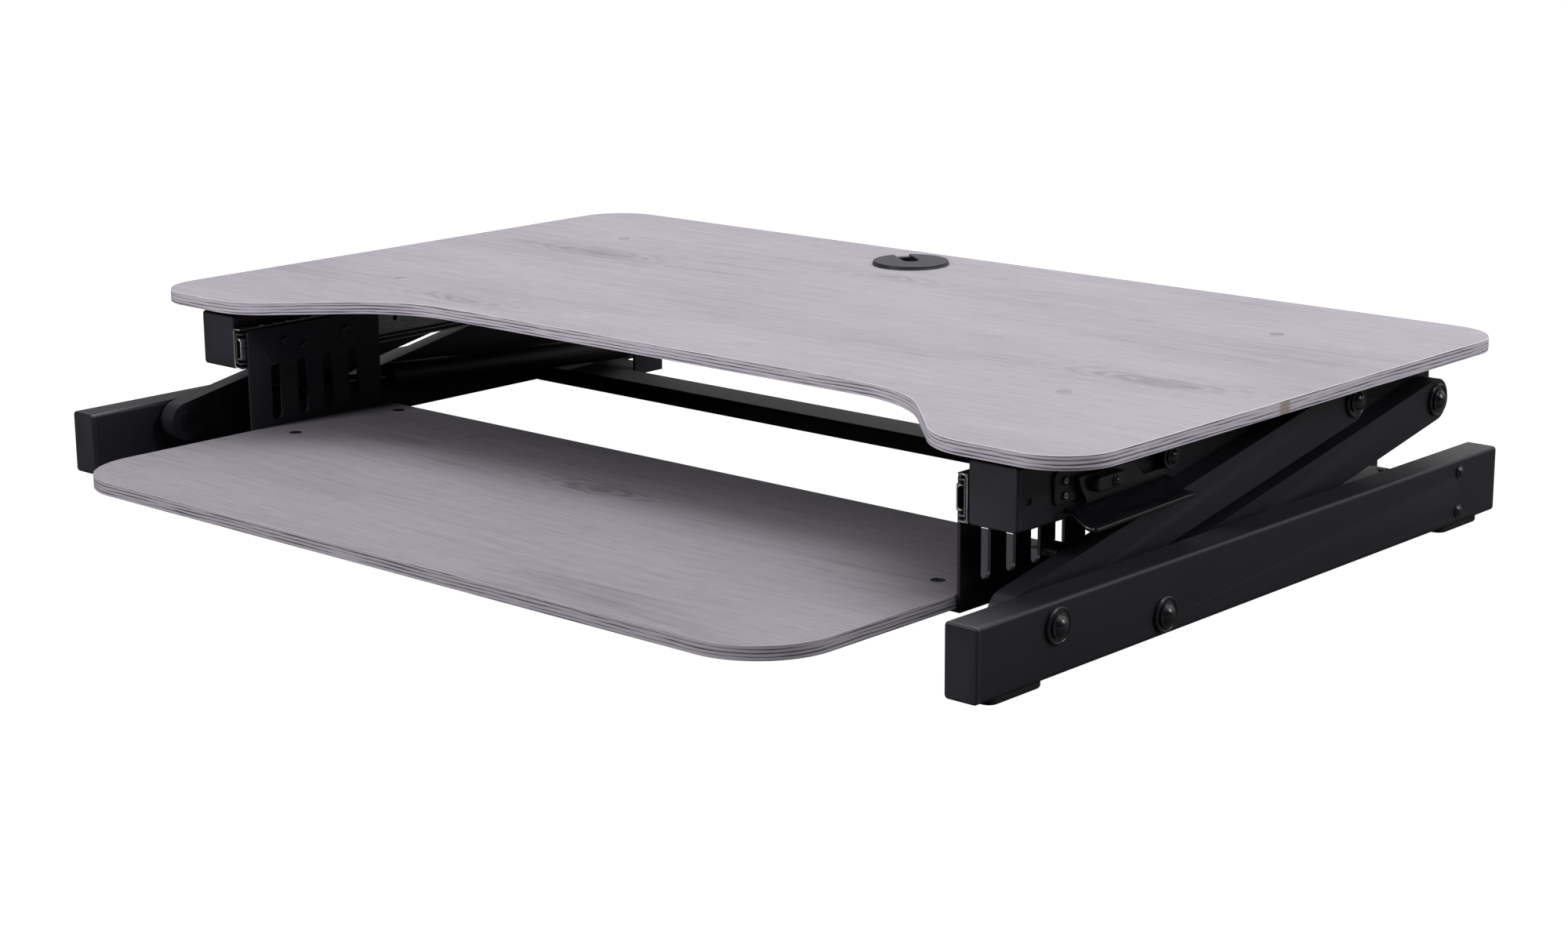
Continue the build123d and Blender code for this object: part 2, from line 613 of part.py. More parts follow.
def gas_cylinder():
    """Pressure tube with a rear eye and a bored front gland."""
    body = gas_tube(CYL_R, GAS_NECK, GAS_NECK + CYL_L)
    body += gas_tube(6, 3, GAS_NECK + 1)
    body += x_rod(EYE_R, GAS_X - EYE_T / 2, GAS_X + EYE_T / 2, GAS_Y, GAS_Z)
    body -= x_rod(GAS_PIN_R + RUN, GAS_X - EYE_T, GAS_X + EYE_T, GAS_Y, GAS_Z)
    bore = gas_tube(CYL_R - GAS_WALL, GAS_NECK + 6, GAS_NECK + CYL_L - 6)
    return body - bore - gas_tube(ROD_R + RUN, GAS_NECK + 4, GAS_NECK + CYL_L + 4)


def gas_rod():
    """Polished rod with its piston, front eye and the stud that meets the arm."""
    piston = CYL_L - GAS_PISTON
    rod = gas_tube(ROD_R, piston, GAS_LENGTH - 4)
    rod += gas_tube(CYL_R - GAS_WALL - RUN, piston, piston + 12)
    rod += x_rod(EYE_R, GAS_X - EYE_T / 2, GAS_X + EYE_T / 2, GAS_FY, GAS_FZ)
    return rod + x_rod(GAS_PIN_R, GAS_X, ARM_X_IN - 2 * GAP, GAS_FY, GAS_FZ)


def gas_base_brackets():
    """U-shaped bracket fixed inside the rear end of each base tube, with a low inner ear."""
    x_in, x_out = GAS_EAR_X, BASE_X_IN - GAP
    y0, y1 = GAS_Y - GAS_BRACKET_HALF, GAS_Y + GAS_BRACKET_HALF
    z0, z1 = FOOT_T + 1, GAS_BRACKET_TOP
    shape = block(x_in, x_out, y0, y1, z0, z1)
    shape -= block(x_in + GAS_EAR_T, x_out - GAS_EAR_T, y0 - 1, y1 + 1, z0 + GAS_EAR_T, z1 + 1)
    shape -= block(x_in - 1, x_in + GAS_EAR_T + 1, y0 - 1, y1 + 1, GAS_Z + 12, z1 + 1)
    shape -= x_rod(GAS_PIN_R + GAP, x_in - 1, x_out + 1, GAS_Y, GAS_Z)
    for z in BRACKET_SCREW_Z:
        shape -= x_rod(BRACKET_SCREW_R + GAP, x_out - GAS_EAR_T - 1, x_out + 1, GAS_Y, z)
    return both_sides([shape])


def gas_base_pins():
    """Pin through the rear eye, and the collar that keeps the eye off the outer ear."""
    pin = x_rod(GAS_PIN_R, GAS_EAR_X - 2, BASE_X_IN - GAP, GAS_Y, GAS_Z)
    collar = x_ring(6.5, GAS_PIN_R + GAP, GAS_X + EYE_T / 2 + 3,
                    BASE_X_IN - GAS_EAR_T - 2 * GAP, GAS_Y, GAS_Z)
    return both_sides([pin, collar])


def bracket_screws():
    """Button-head screws through the base tube into the gas spring bracket."""
    screws = []
    for z in BRACKET_SCREW_Z:
        head = domed_head(BASE_X_OUT + GAP, BUTTON_H, BUTTON_R, GAS_Y, z)
        screws.append(head + x_rod(BRACKET_SCREW_R, BASE_X_IN - 7, BASE_X_OUT + GAP, GAS_Y, z))
    return both_sides(screws)


# ---------- release handles ----------
def handle_bracket():
    """Plate on the outer wall of the top tube that carries the lever pivot."""
    x0 = TOP_X_OUT + GAP
    plate = block(x0, x0 + PLATE_T, *PLATE_Y, *PLATE_Z)
    plate = fillet(plate.edges().filter_by(Axis.X), 4.0)
    plate -= x_rod(HANDLE_PIN_R + GAP, x0 - 1, x0 + 3, HANDLE_PIVOT_Y, HANDLE_PIVOT_Z)
    for z in RIVET_Z:
        plate -= x_rod(RIVET_R + GAP, x0 - 1, x0 + 3, RIVET_Y, z)
    return plate


def handle_rivets():
    rivets = []
    x = TOP_X_OUT + PLATE_T + 2 * GAP
    for z in RIVET_Z:
        head = x_rod(3.0, x, x + 1.4, RIVET_Y, z)
        head = fillet(head.faces().sort_by(Axis.X)[-1].edges(), 0.9)
        rivets.append(head + x_rod(RIVET_R, TOP_X_OUT + GAP, x, RIVET_Y, z))
    return both_sides(rivets)


def cable_anchor():
    """Rounded block on the lever's web that grips the end of the release cable."""
    x0 = WEB_X + GAP
    body = block(x0, x0 + ANCHOR_T, *ANCHOR_Y, *ANCHOR_Z)
    body = fillet(body.edges().filter_by(Axis.X), 5.0)
    body = fillet(body.faces().sort_by(Axis.X)[-1].edges(), 2.5)
    mid_z = sum(ANCHOR_Z) / 2
    return body - x_rod(ANCHOR_SCREW_R + GAP, x0 - 1, x0 + ANCHOR_T + 1, ANCHOR_SCREW_Y, mid_z)


def anchor_screw():
    """Domed screw that clamps the cable anchor to the lever."""
    x0 = WEB_X + 2 * GAP + ANCHOR_T
    mid_z = sum(ANCHOR_Z) / 2
    shank = x_rod(ANCHOR_SCREW_R, WEB_X - 1.5, x0, ANCHOR_SCREW_Y, mid_z)
    return domed_head(x0, 2.8, 4.0, ANCHOR_SCREW_Y, mid_z) + shank


def paddle_height(x):
    """Top of the paddle's S section at the front end."""
    start, end = PADDLE_BEND
    share = min(max((x - start) / (end - start), 0.0), 1.0)
    return PADDLE_Z_OUT + (PADDLE_Z_IN - PADDLE_Z_OUT) * (1 + cos(pi * share)) / 2


def lever_paddle():
    """Finger plate: flat beside the tube, then an S that sweeps down to the outer lip."""
    width = PADDLE_X_OUT - PADDLE_X_IN
    places = [PADDLE_X_IN + width * index / 8 for index in range(9)]
    top = [(x, paddle_height(x)) for x in places]
    under = [(x, z - PADDLE_T) for x, z in reversed(top)]
    outline = Spline(*top) + Line(top[-1], under[0]) + Spline(*under) + Line(under[-1], top[0])
    plane = Plane(origin=(0, PADDLE_FRONT, 0), x_dir=(-1, 0, 0), z_dir=(0, 1, 0))
    section = plane * mirror(make_face(outline), about=Plane.YZ)
    rise = radians(PADDLE_RISE)
    length = (PADDLE_REAR - PADDLE_FRONT) / cos(rise)
    return extrude(section, amount=length, dir=(0, cos(rise), sin(rise)))


def handle_lever():
    """Pull lever: pivot eye, upright web and finger paddle in one moulding."""
    eye = x_rod(HANDLE_EYE_R, LEVER_X, LEVER_X + HANDLE_EYE_T, HANDLE_PIVOT_Y, HANDLE_PIVOT_Z)
    low_z = PADDLE_Z_IN - PADDLE_T / 2
    outline = Polyline((-112, low_z), (-120.5, 108), (-122.5, 114), (-62, 114), (-51, 103),
                       (PADDLE_REAR, 103), (PADDLE_REAR, low_z + 2), close=True)
    web = along_x(make_face(outline), PADDLE_X_IN, WEB_X)
    lever = lever_paddle() + web + eye
    lever -= x_rod(ANCHOR_SCREW_R + GAP, PADDLE_X_IN - 1, WEB_X + 1, ANCHOR_SCREW_Y, sum(ANCHOR_Z) / 2)
    return lever - x_rod(HANDLE_PIN_R + RUN, LEVER_X - 1, LEVER_X + HANDLE_EYE_T + 1,
                         HANDLE_PIVOT_Y, HANDLE_PIVOT_Z)


def handle_pivot_bolts():
    head_x = LEVER_X + HANDLE_EYE_T + GAP
    head = domed_head(head_x, 3.6, 6.0, HANDLE_PIVOT_Y, HANDLE_PIVOT_Z)
    shank = x_rod(HANDLE_PIN_R, TOP_X_OUT + GAP, head_x, HANDLE_PIVOT_Y, HANDLE_PIVOT_Z)
    return both_sides([head + shank])


def release_cables():
    """Cable sheath from the lever housing, along the inside of the top tube."""
    path = Line((TOP_X_MID, -95, 118), (TOP_X_MID, 120, 118))
    sheath = sweep(Plane(origin=path @ 0, z_dir=path % 0) * Circle(2.5), path=path)
    return both_sides([sheath])


# ---------- grommet ----------
def grommet_sleeve():
    """Plastic liner of the cable hole, with a thin flange on the desktop."""
    sleeve = z_rod(GROMMET_HOLE_R - GAP, GROMMET_X, GROMMET_Y, FRAME_Z - 6, DESK_TOP + GAP)
    sleeve += z_rod(GROMMET_FLANGE_R, GROMMET_X, GROMMET_Y, DESK_TOP + GAP, DESK_TOP + GROMMET_FLANGE_T)
    sleeve -= z_rod(GROMMET_HOLE_R - 2, GROMMET_X, GROMMET_Y, FRAME_Z - 7, DESK_TOP + 2)
    return sleeve


def grommet_cap():
    """Round cap that turns in the sleeve, with a keyhole slot for the cables."""
    z0 = DESK_TOP + GROMMET_FLANGE_T + GAP
    cap = z_rod(GROMMET_FLANGE_R - 0.6, GROMMET_X, GROMMET_Y, z0, z0 + GROMMET_CAP_T)
    cap = fillet(cap.faces().sort_by(Axis.Z)[-1].edges(), 1.2)
    skirt = z_rod(GROMMET_HOLE_R - 2 - RUN, GROMMET_X, GROMMET_Y, DESK_TOP - 8, z0 + 0.5)
    skirt -= z_rod(GROMMET_HOLE_R - 4, GROMMET_X, GROMMET_Y, DESK_TOP - 9, z0)
    cap += skirt
    hole = z_rod(GROMMET_SLOT_R, 0, 0, DESK_TOP - 10, z0 + 3)
    throat = block(-40, 0, -GROMMET_SLOT_R, GROMMET_SLOT_R, DESK_TOP - 10, z0 + 3)
    return cap - Pos(GROMMET_X, GROMMET_Y, 0) * Rot(0, 0, -GROMMET_SLOT_TURN) * (hole + throat)


def write_parts():
    save_pair("base_tube", base_tube())
    save("base_end_caps", base_end_caps())
    save("rear_crossbar", rear_crossbar())
    save("rubber_feet", rubber_feet())
    save("base_pivot_bolts", base_pivot_bolts())
    save("base_pivot_washers", base_pivot_washers())
    save("gas_base_brackets", gas_base_brackets())
    save("gas_base_pins", gas_base_pins())
    save("bracket_screws", bracket_screws())
    save_pair("front_arm", arm(P1_Y, P1_Z, (GAS_FY, GAS_FZ)))
    save_pair("rear_arm", arm(P2_Y, P2_Z))
    save_pair("front_arm_bushes", arm_bushes(P1_Y, P1_Z))
    save_pair("rear_arm_bushes", arm_bushes(P2_Y, P2_Z))
    save_pair("top_tube", top_tube())
    save("top_tube_caps", top_tube_caps())
    save("front_cross_strap", cross_strap(STRAP_Y[0]))
    save("rear_cross_strap", cross_strap(STRAP_Y[1]))
    save("desktop", desktop())
    save("desktop_screws", desktop_screws())
    save("top_pivot_bolts", top_pivot_bolts())
    save("top_pivot_washers", top_pivot_washers())
    save("top_pivot_inserts", top_pivot_inserts())
    save("keyboard_tray", keyboard_tray())
    save("tray_bolts", tray_bolts())
    save_pair("tray_bracket", tray_bracket())
    save("tray_bracket_screws", tray_bracket_screws())
    save_pair("slide_outer", slide_outer())
    save_pair("slide_middle", slide_middle())
    save_pair("slide_inner", slide_inner())
    save_pair("slide_balls", slide_balls())
    save("slide_screws", slide_screws())
    save_pair("gas_cylinder", gas_cylinder())
    save_pair("gas_rod", gas_rod())
    save_pair("handle_bracket", handle_bracket())
    save_pair("handle_lever", handle_lever())
    save("handle_rivets", handle_rivets())
    save_pair("cable_anchor", cable_anchor())
    save_pair("anchor_screw", anchor_screw())
    save("handle_pivot_bolts", handle_pivot_bolts())
    save("release_cables", release_cables())
    save("grommet_sleeve", grommet_sleeve())
    save("grommet_cap", grommet_cap())


write_parts()
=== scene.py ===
"""Standing desk converter: materials, softened edges, small pieces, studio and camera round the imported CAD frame."""
import json
import math

import bmesh
import bpy
from mathutils import Matrix, Vector

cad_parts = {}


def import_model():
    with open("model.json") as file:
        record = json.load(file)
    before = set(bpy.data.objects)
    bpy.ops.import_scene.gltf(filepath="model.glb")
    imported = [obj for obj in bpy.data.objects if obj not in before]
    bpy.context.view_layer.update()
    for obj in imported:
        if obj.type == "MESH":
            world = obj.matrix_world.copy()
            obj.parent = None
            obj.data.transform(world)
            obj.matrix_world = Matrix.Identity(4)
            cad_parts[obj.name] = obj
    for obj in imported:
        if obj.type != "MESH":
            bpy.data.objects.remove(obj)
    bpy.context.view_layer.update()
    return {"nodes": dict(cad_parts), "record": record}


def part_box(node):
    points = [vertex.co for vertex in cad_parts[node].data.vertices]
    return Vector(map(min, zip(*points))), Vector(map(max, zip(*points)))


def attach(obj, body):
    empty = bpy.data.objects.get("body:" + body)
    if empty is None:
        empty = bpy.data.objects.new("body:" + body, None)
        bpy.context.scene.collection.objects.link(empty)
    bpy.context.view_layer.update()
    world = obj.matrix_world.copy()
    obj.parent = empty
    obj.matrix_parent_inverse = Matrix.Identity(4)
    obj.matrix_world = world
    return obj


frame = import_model()

MM = 0.001
COLLECTION = bpy.context.scene.collection


# ---------- shader graph helper ----------
class Graph:
    """Adds shader nodes to a new material and links them. Values may be numbers, colours or sockets."""

    def __init__(self, name):
        self.material = bpy.data.materials.new(name)
        self.material.use_nodes = True
        self.tree = self.material.node_tree
        self.shader = self.tree.nodes["Principled BSDF"]
        self.point = self.tree.nodes.new("ShaderNodeTexCoord").outputs["Object"]

    def node(self, kind, **settings):
        made = self.tree.nodes.new("ShaderNode" + kind)
        for key, value in settings.items():
            setattr(made, key, value)
        return made

    def feed(self, socket, value):
        if isinstance(value, bpy.types.NodeSocket):
            self.tree.links.new(value, socket)
        elif isinstance(value, tuple) and len(value) == 3 and socket.type == "RGBA":
            socket.default_value = (*value, 1.0)
        else:
            socket.default_value = value

    def math(self, operation, a, b=0.0):
        made = self.node("Math", operation=operation)
        self.feed(made.inputs[0], a)
        self.feed(made.inputs[1], b)
        return made.outputs["Value"]

    def split(self, vector):
        made = self.node("SeparateXYZ")
        self.feed(made.inputs["Vector"], vector)
        return made.outputs["X"], made.outputs["Y"], made.outputs["Z"]

    def join(self, x, y, z):
        made = self.node("CombineXYZ")
        for socket, value in zip(made.inputs, (x, y, z)):
            self.feed(socket, value)
        return made.outputs["Vector"]

    def scaled(self, vector, x, y, z):
        """A vector with each part multiplied."""
        made = self.node("Mapping")
        made.inputs["Scale"].default_value = (x, y, z)
        self.feed(made.inputs["Vector"], vector)
        return made.outputs["Vector"]

    def noise(self, vector, scale=1.0, detail=3.0, roughness=0.5):
        made = self.node("TexNoise")
        self.feed(made.inputs["Vector"], vector)
        self.feed(made.inputs["Scale"], scale)
        self.feed(made.inputs["Detail"], detail)
        self.feed(made.inputs["Roughness"], roughness)
        return made.outputs["Fac"]

    def remap(self, value, low, high, new_low, new_high):
        made = self.node("MapRange")
        for socket, number in zip(made.inputs, (value, low, high, new_low, new_high)):
            self.feed(socket, number)
        return made.outputs["Result"]

    def ramp(self, value, *stops):
        """Colour ramp from (place, colour) stops."""
        made = self.node("ValToRGB")
        elements = made.color_ramp.elements
        while len(elements) < len(stops):
            elements.new(0.5)
        for element, (place, colour) in zip(elements, stops):
            element.position = place
            element.color = (*colour, 1.0)
        self.feed(made.inputs["Fac"], value)
        return made.outputs["Color"]

    def mix(self, blend, factor, a, b):
        made = self.node("Mix", data_type="RGBA", blend_type=blend)
        for socket, value in zip((made.inputs["Factor"], made.inputs[6], made.inputs[7]), (factor, a, b)):
            self.feed(socket, value)
        return made.outputs[2]

    def bump(self, height, strength, distance):
        made = self.node("Bump")
        self.feed(made.inputs["Height"], height)
        self.feed(made.inputs["Strength"], strength)
        self.feed(made.inputs["Distance"], distance)
        return made.outputs["Normal"]

    def facing(self):
        """The part of the flat face's direction that points up."""
        geometry = self.node("NewGeometry")
        return self.split(geometry.outputs["True Normal"])[2]

    def edge_wear(self, amount):
        """Grows from 0 to amount on convex edges."""
        geometry = self.node("NewGeometry")
        return self.remap(geometry.outputs["Pointiness"], 0.52, 0.60, 0.0, amount)

    def out(self, **inputs):
        for key, value in inputs.items():
            self.feed(self.shader.inputs[key.replace("_", " ")], value)
        return self.material


# ---------- laminate ----------
def shade(colour, share):
    return tuple(share * part for part in colour)


def grain(g, seed):
    """Oak print along X: returns its tone (0 dark to 1 light), its fine lines and its pores."""
    x, y, _ = g.split(g.point)
    x = g.math("ADD", x, seed)
    plane = g.join(x, y, 0.0)
    knots = g.node("TexVoronoi", voronoi_dimensions="2D", feature="F1", distance="EUCLIDEAN")
    swirl = g.math("MULTIPLY", g.noise(g.scaled(plane, 9.0, 22.0, 1.0)), 0.05)
    g.feed(knots.inputs["Vector"], g.scaled(g.join(x, g.math("ADD", y, swirl), 0.0), 2.3, 9.5, 1.0))
    g.feed(knots.inputs["Scale"], 1.0)
    distance = knots.outputs["Distance"]
    strength = g.remap(knots.outputs["Color"], 0.35, 0.65, 0.0, 1.0)
    knot = g.math("MULTIPLY", g.remap(distance, 0.01, 0.30, 1.0, 0.0), strength)
    ripple = g.math("MULTIPLY", g.noise(g.scaled(plane, 22.0, 60.0, 1.0)), 6.0)
    rings = g.math("SINE", g.math("ADD", g.math("MULTIPLY", distance, 120.0), ripple))
    figure = g.math("MULTIPLY", g.math("MULTIPLY", rings, knot), 0.105)
    bend = g.math("MULTIPLY", g.math("SUBTRACT", g.noise(g.scaled(plane, 2.5, 5.0, 1.0)), 0.5), 0.03)
    bend = g.math("ADD", bend, g.math("MULTIPLY", knot, 0.010))
    warped = g.join(x, g.math("ADD", y, bend), 0.0)
    streak = g.noise(g.scaled(warped, 3.2, 120.0, 1.0), 1.0, 7.0, 0.72)
    cloud = g.noise(g.scaled(plane, 3.0, 9.0, 1.0), 1.0, 3.0, 0.55)
    tone = g.math("ADD", g.math("MULTIPLY", streak, 0.50), g.math("MULTIPLY", cloud, 0.50))
    tone = g.math("SUBTRACT", tone, g.math("MULTIPLY", g.math("POWER", knot, 3.0), 0.25))
    tone = g.math("ADD", tone, figure)
    fine = g.noise(g.scaled(warped, 14.0, 700.0, 1.0), 1.0, 3.0, 0.65)
    pores = g.noise(g.scaled(warped, 40.0, 1100.0, 1.0), 1.0, 2.0, 0.5)
    return tone, fine, g.remap(pores, 0.34, 0.46, 0.0, 1.0)


def edge_band(g, light, dark):
    """Edge band print: a few dark wavy streaks, stacked up the thickness, that run round the board."""
    x, y, z = g.split(g.point)
    wave = g.noise(g.scaled(g.point, 9.0, 9.0, 40.0), 1.0, 4.0, 0.6)
    phase = g.math("ADD", g.math("MULTIPLY", z, 2500.0), g.math("MULTIPLY", wave, 9.0))
    line = g.math("MULTIPLY", g.math("SINE", phase), 0.20)
    place = g.join(g.math("MULTIPLY", x, 20.0), g.math("MULTIPLY", y, 20.0), g.math("MULTIPLY", z, 900.0))
    tone = g.math("ADD", g.noise(place, 1.0, 4.0, 0.6), line)
    return g.ramp(tone, (0.24, shade(dark, 0.55)), (0.36, shade(light, 1.05)), (0.47, shade(light, 1.95)))


def band_joint(g, colour):
    """Butt joint of the edge band, on the right-hand edge of the desktop, with a trace of glue."""
    x, y, _ = g.split(g.point)
    near = g.remap(g.math("ABSOLUTE", g.math("SUBTRACT", y, 0.047)), 0.004, 0.008, 0.8, 0.0)
    right = g.math("GREATER_THAN", x, 0.474)
    return g.mix("MIX", g.math("MULTIPLY", near, right), colour, (0.46, 0.37, 0.25))


def laminate(name, light, dark, seed):
    """Grey oak print on top, printed edge band round the sides, a painted highlight on the rounded arris between them,
    plain near-black on the faces that point down.
    """
    g = Graph(name)
    tone, fine, pores = grain(g, seed)
    face = g.ramp(tone, (0.33, dark), (0.45, shade(light, 0.90)), (0.58, light))
    face = g.mix("MULTIPLY", 1.0, face, g.ramp(fine, (0.30, (0.84, 0.84, 0.85)), (0.60, (1.0, 1.0, 1.0))))
    face = g.mix("MULTIPLY", 1.0, face, g.ramp(pores, (0.0, (0.80, 0.79, 0.81)), (0.9, (1.0, 1.0, 1.0))))
    up = g.facing()
    edge = band_joint(g, edge_band(g, light, dark))
    # Painted highlight: the rounded arris between the top and the edge band gets the light colour times 2.1.
    colour = g.mix("MIX", g.remap(up, 0.10, 0.24, 1.0, 0.0), shade(light, 2.1), edge)
    colour = g.mix("MIX", g.remap(up, 0.975, 0.995, 1.0, 0.0), face, colour)
    # Faces that point down are made plain near-black.
    colour = g.mix("MIX", g.remap(up, -0.8, -0.6, 1.0, 0.0), colour, (0.012, 0.012, 0.014))
    relief = g.math("ADD", g.math("MULTIPLY", pores, 0.6), g.math("MULTIPLY", fine, 0.4))
    return g.out(Base_Color=colour, Roughness=g.remap(fine, 0.3, 0.7, 0.60, 0.46),
                 Normal=g.bump(relief, 0.22, 0.15 * MM), Specular_IOR_Level=0.32)


# ---------- frame and fittings ----------
def powder_coat(name):
    """Satin black powder coat: orange-peel skin, faint blue tint, edges rubbed a little lighter."""
    g = Graph(name)
    peel = g.noise(g.point, 650.0, 2.0, 0.5)
    dust = g.noise(g.point, 2600.0, 1.0, 0.5)
    patch = g.noise(g.point, 11.0, 3.0, 0.5)
    colour = g.ramp(patch, (0.3, (0.0150, 0.0140, 0.0205)), (0.7, (0.0185, 0.0172, 0.0250)))
    colour = g.mix("MIX", g.edge_wear(0.35), colour, (0.060, 0.058, 0.068))
    skin = g.math("ADD", g.math("MULTIPLY", peel, 0.7), g.math("MULTIPLY", dust, 0.3))
    return g.out(Base_Color=colour, Roughness=g.remap(peel, 0.3, 0.7, 0.38, 0.50),
                 Normal=g.bump(skin, 0.10, 0.25 * MM), Specular_IOR_Level=0.45)


def moulded_plastic(name, colour, roughness, texture_scale, texture):
    """Moulded plastic with a fine spark-eroded texture and slight flow shading."""
    g = Graph(name)
    spark = g.noise(g.point, texture_scale, 2.0, 0.6)
    flow = g.noise(g.point, 22.0, 2.0, 0.5)
    tint = g.ramp(flow, (0.3, shade(colour, 0.85)), (0.7, shade(colour, 1.15)))
    tint = g.mix("MIX", g.edge_wear(0.25), tint, shade(colour, 3.0))
    return g.out(Base_Color=tint, Roughness=g.remap(spark, 0.3, 0.7, 0.85 * roughness, 1.15 * roughness),
                 Normal=g.bump(spark, texture, 0.2 * MM), Specular_IOR_Level=0.5)


def plated_steel(name, colour, roughness):
    """Zinc or chrome: fine draw lines along Y under a cloudy passivation."""
    g = Graph(name)
    lines = g.noise(g.scaled(g.point, 900.0, 14.0, 900.0), 1.0, 2.0, 0.6)
    cloud = g.noise(g.point, 45.0, 3.0, 0.6)
    tint = g.ramp(cloud, (0.3, shade(colour, 0.78)), (0.7, colour))
    return g.out(Base_Color=tint, Metallic=1.0, Normal=g.bump(lines, 0.08, 0.1 * MM),
                 Roughness=g.remap(lines, 0.3, 0.7, 0.7 * roughness, 1.4 * roughness))


def black_oxide(name):
    """Blackened steel: glossy, oiled, with small worn specks."""
    g = Graph(name)
    wear = g.noise(g.point, 190.0, 4.0, 0.6)
    colour = g.ramp(wear, (0.35, (0.014, 0.014, 0.018)), (0.80, (0.020, 0.019, 0.024)))
    colour = g.mix("MIX", g.edge_wear(0.5), colour, (0.05, 0.05, 0.06))
    return g.out(Base_Color=colour, Roughness=g.remap(wear, 0.3, 0.7, 0.16, 0.30),
                 Specular_IOR_Level=0.7)


def rubber(name):
    g = Graph(name)
    texture = g.noise(g.point, 700.0, 2.0, 0.6)
    colour = g.ramp(texture, (0.3, (0.010, 0.010, 0.011)), (0.7, (0.018, 0.018, 0.019)))
    return g.out(Base_Color=colour, Roughness=0.8, Normal=g.bump(texture, 0.3, 0.2 * MM))


MATERIALS = {
    "desktop_laminate": laminate("desktop_laminate", (0.450, 0.422, 0.472), (0.300, 0.281, 0.318), 0.0),
    # The tray's colours are the desktop's times 0.75: painted shade for the shadow the desktop casts on the tray.
    "tray_laminate": laminate("tray_laminate", (0.337, 0.316, 0.353), (0.200, 0.188, 0.214), 3.35),
    "frame_powder_coat": powder_coat("frame_powder_coat"),
    "black_plastic": moulded_plastic("black_plastic", (0.025, 0.024, 0.031), 0.42, 1300.0, 0.10),
    "handle_plastic": moulded_plastic("handle_plastic", (0.0110, 0.0105, 0.0140), 0.24, 900.0, 0.015),
    "black_fasteners": black_oxide("black_fasteners"),
    # Zinc colour kept below bright zinc: partly the plate's own tone, partly painted shade for the slides under the
    # desktop.
    "zinc_plate": plated_steel("zinc_plate", (0.34, 0.34, 0.35), 0.30),
    # Dark chrome, 0.12: painted shade for the gas spring rods that sit in the dark under the desktop.
    "rod_chrome": plated_steel("rod_chrome", (0.12, 0.12, 0.13), 0.20),
    "foot_rubber": rubber("foot_rubber"),
}
# Bright metal for the eyelets, lugs and slide ends: partly bare steel, partly a painted highlight standing in for
# glints on their edges.
CUT_EDGE_AND_HIGHLIGHT = plated_steel("zinc_cut_edge_and_highlight", (0.85, 0.84, 0.80), 0.45)

# ---------- CAD nodes ----------
EDGE_RADIUS = {
    "desktop_laminate": 0.9 * MM,
    "tray_laminate": 0.9 * MM,
    "frame_powder_coat": 0.6 * MM,
    "black_plastic": 0.8 * MM,
    "handle_plastic": 0.9 * MM,
    "black_fasteners": 0.3 * MM,
    "zinc_plate": 0.2 * MM,
    "rod_chrome": 0.3 * MM,
    "foot_rubber": 0.8 * MM,
}


def soften_edges(obj, radius):
    """Rounds the sharp edges of a CAD node and shades it smoothly."""
    weld = obj.modifiers.new("weld", "WELD")
    weld.merge_threshold = 0.002 * MM
    flat = obj.modifiers.new("flat_faces", "DECIMATE")
    flat.decimate_type = "DISSOLVE"
    flat.angle_limit = math.radians(0.3)
    bevel = obj.modifiers.new("edges", "BEVEL")
    bevel.width = radius
    bevel.segments = 3
    bevel.limit_method = "ANGLE"
    bevel.angle_limit = math.radians(35.0)
    shading = obj.modifiers.new("shading", "WEIGHTED_NORMAL")
    shading.weight = 60
    obj.data.shade_smooth()


def dress_nodes():
    """Every CAD node gets its slot's material and softened edges."""
    for entry in frame["record"]["subparts"]:
        obj = frame["nodes"][entry["node"]]
        slot = entry["material_slot"]
        obj.data.materials.clear()
        obj.data.materials.append(MATERIALS[slot])
        if entry["node"].startswith("slide_balls"):
            obj.data.shade_smooth()
        else:
            soften_edges(obj, EDGE_RADIUS[slot])


# ---------- added pieces ----------
def new_piece(name, bm, slot, body, material=None):
    """A mesh piece that rides on a body and takes its finish from a slot, unless a material is given."""
    bmesh.ops.recalc_face_normals(bm, faces=bm.faces)
    mesh = bpy.data.meshes.new(name)
    bm.to_mesh(mesh)
    bm.free()
    mesh.shade_smooth()
    mesh.materials.append(material or MATERIALS[slot])
    obj = bpy.data.objects.new(name, mesh)
    COLLECTION.objects.link(obj)
    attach(obj, body)
    return obj


def lathe(bm, profile, place, steps=40):
    """Turns (radius, height) points about an axis; place maps the axis, which is local Z, into the frame."""
    rings = []
    for radius, height in profile:
        if radius == 0.0:
            rings.append([bm.verts.new(place @ Vector((0.0, 0.0, height)))])
            continue
        ring = []
        for index in range(steps):
            angle = 2.0 * math.pi * index / steps
            ring.append(bm.verts.new(place @ Vector((radius * math.cos(angle), radius * math.sin(angle), height))))
        rings.append(ring)
    for ring, following in zip(rings, rings[1:]):
        for index in range(steps):
            after = (index + 1) % steps
            corners = [ring[index % len(ring)], ring[after % len(ring)],
                       following[after % len(following)], following[index % len(following)]]
            unique = list(dict.fromkeys(corners))
            bm.faces.new(unique)


